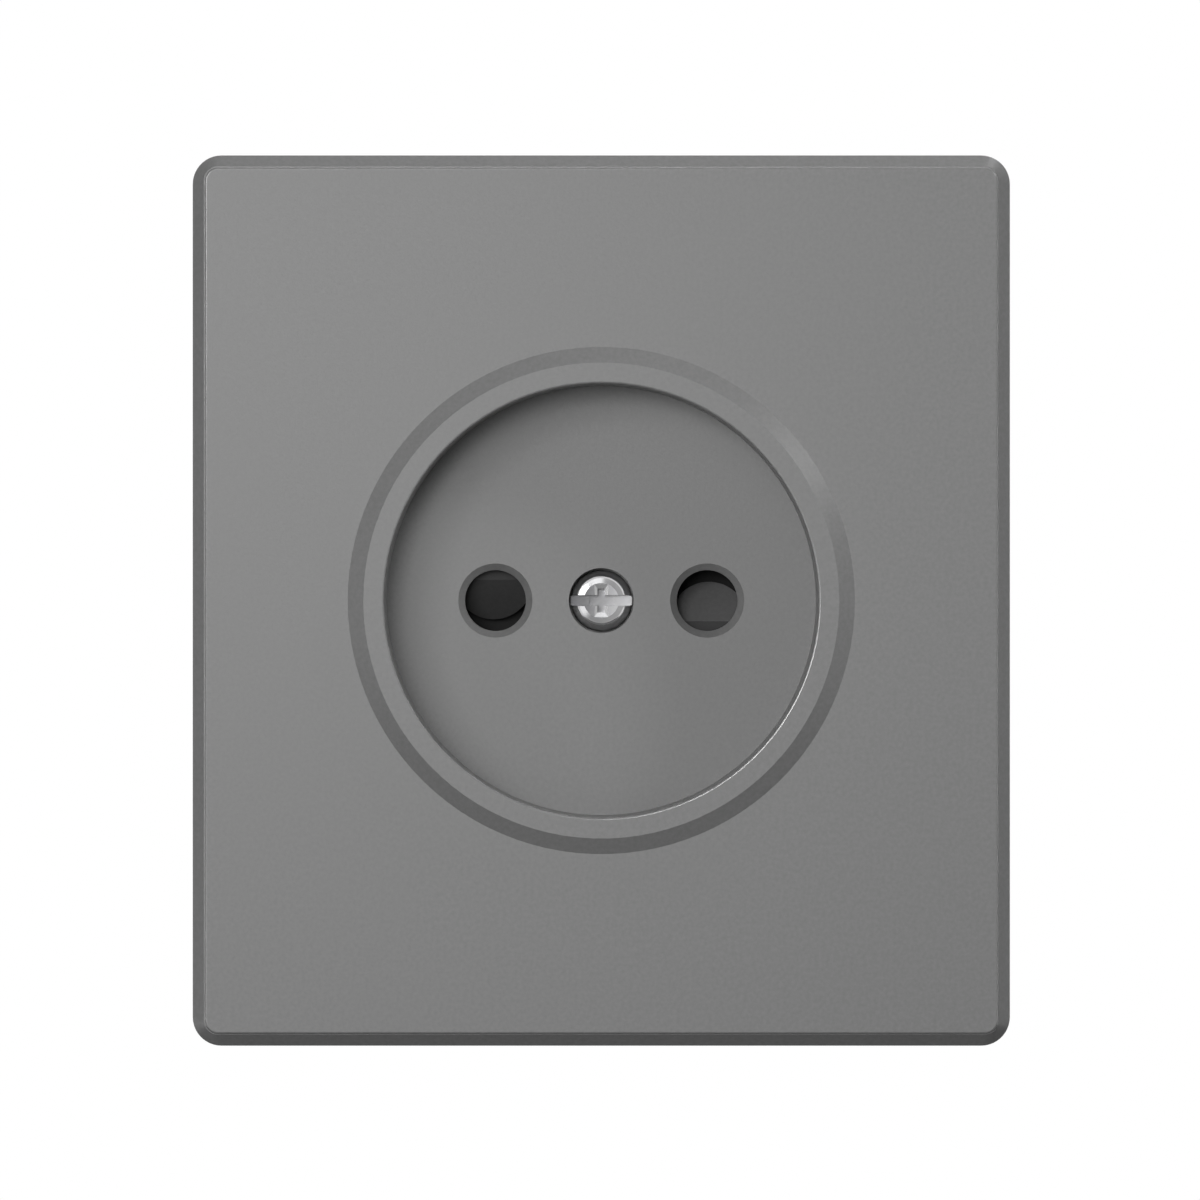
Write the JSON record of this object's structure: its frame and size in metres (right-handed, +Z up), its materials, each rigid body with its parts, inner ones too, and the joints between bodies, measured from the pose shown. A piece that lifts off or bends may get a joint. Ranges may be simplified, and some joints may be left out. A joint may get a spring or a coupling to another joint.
{
  "type": "ungrounded wall socket",
  "caption": "Flush two-pole wall socket without earth: bevelled grey plate, round plug recess, pin holes with a rotating shutter, steel ring with claws.",
  "frame": {"origin": "centre of the socket on the wall surface, midway between the box screws", "axes": "+X to the right seen from the front, +Y into the wall, +Z up"},
  "size_m": [0.0726, 0.037, 0.079],
  "materials": {
    "plate_grey": "fine matt grey moulding",
    "bright_zinc": "bright zinc plating",
    "shutter_black": "dark satin moulding",
    "spring_steel": "drawn wire",
    "base_plastic": "pale insulating moulding",
    "cover_plastic": "dark insulating moulding",
    "galvanised_steel": "galvanised sheet",
    "brass": "plain stamped"
  },
  "bodies": {
    "socket": {"centre_plate": "plate_grey", "plate_screw": "bright_zinc", "shutter_spring": "spring_steel", "shutter_cap": "shutter_black", "shutter_cap_screws": "bright_zinc", "socket_base": "base_plastic", "screw_bush": "brass", "back_cover": "cover_plastic", "back_cover_screws": "bright_zinc", "support_ring": "galvanised_steel", "ring_screws": "bright_zinc", "contact_rivets": "brass", "contact_left": "brass", "contact_right": "brass", "terminal_bar_left": "brass", "terminal_bar_right": "brass", "terminal_clamp_left": "galvanised_steel", "terminal_clamp_right": "galvanised_steel", "terminal_screw_left": "bright_zinc", "terminal_screw_right": "bright_zinc"},
    "shutter": {"shutter": "shutter_black"},
    "claw_screw_left": {"claw_screw_left": "bright_zinc"},
    "claw_left": {"claw_left": "galvanised_steel"},
    "claw_screw_right": {"claw_screw_right": "bright_zinc"},
    "claw_right": {"claw_right": "galvanised_steel"}
  },
  "joints": [
    {"name": "shutter_turn", "type": "hinge", "parent": "socket", "child": "shutter", "pos_m": [0, 0.005, 0], "axis": [0, 1, 0], "range_deg": [0, 44], "stiffness_Nm_per_rad": 0.003, "springref_deg": -20.05, "deforming": ["shutter_spring"]},
    {"name": "claw_tilt_left", "type": "hinge", "parent": "socket", "child": "claw_screw_left", "pos_m": [-0.0222, -0.00103, 0], "axis": [0, 0, 1], "range_deg": [0, 20]},
    {"name": "claw_draw_left", "type": "slide", "parent": "claw_screw_left", "child": "claw_left", "axis": [0, -1, 0], "range_m": [0, 0.006]},
    {"name": "claw_tilt_right", "type": "hinge", "parent": "socket", "child": "claw_screw_right", "pos_m": [0.0222, -0.00103, 0], "axis": [0, 0, -1], "range_deg": [0, 20]},
    {"name": "claw_draw_right", "type": "slide", "parent": "claw_screw_right", "child": "claw_right", "axis": [0, -1, 0], "range_m": [0, 0.006]}
  ],
  "couplings": [
    {"joint": "claw_tilt_left", "follows": "claw_draw_left", "rad_per_m": 58.17},
    {"joint": "claw_tilt_right", "follows": "claw_draw_right", "rad_per_m": 58.17}
  ]
}
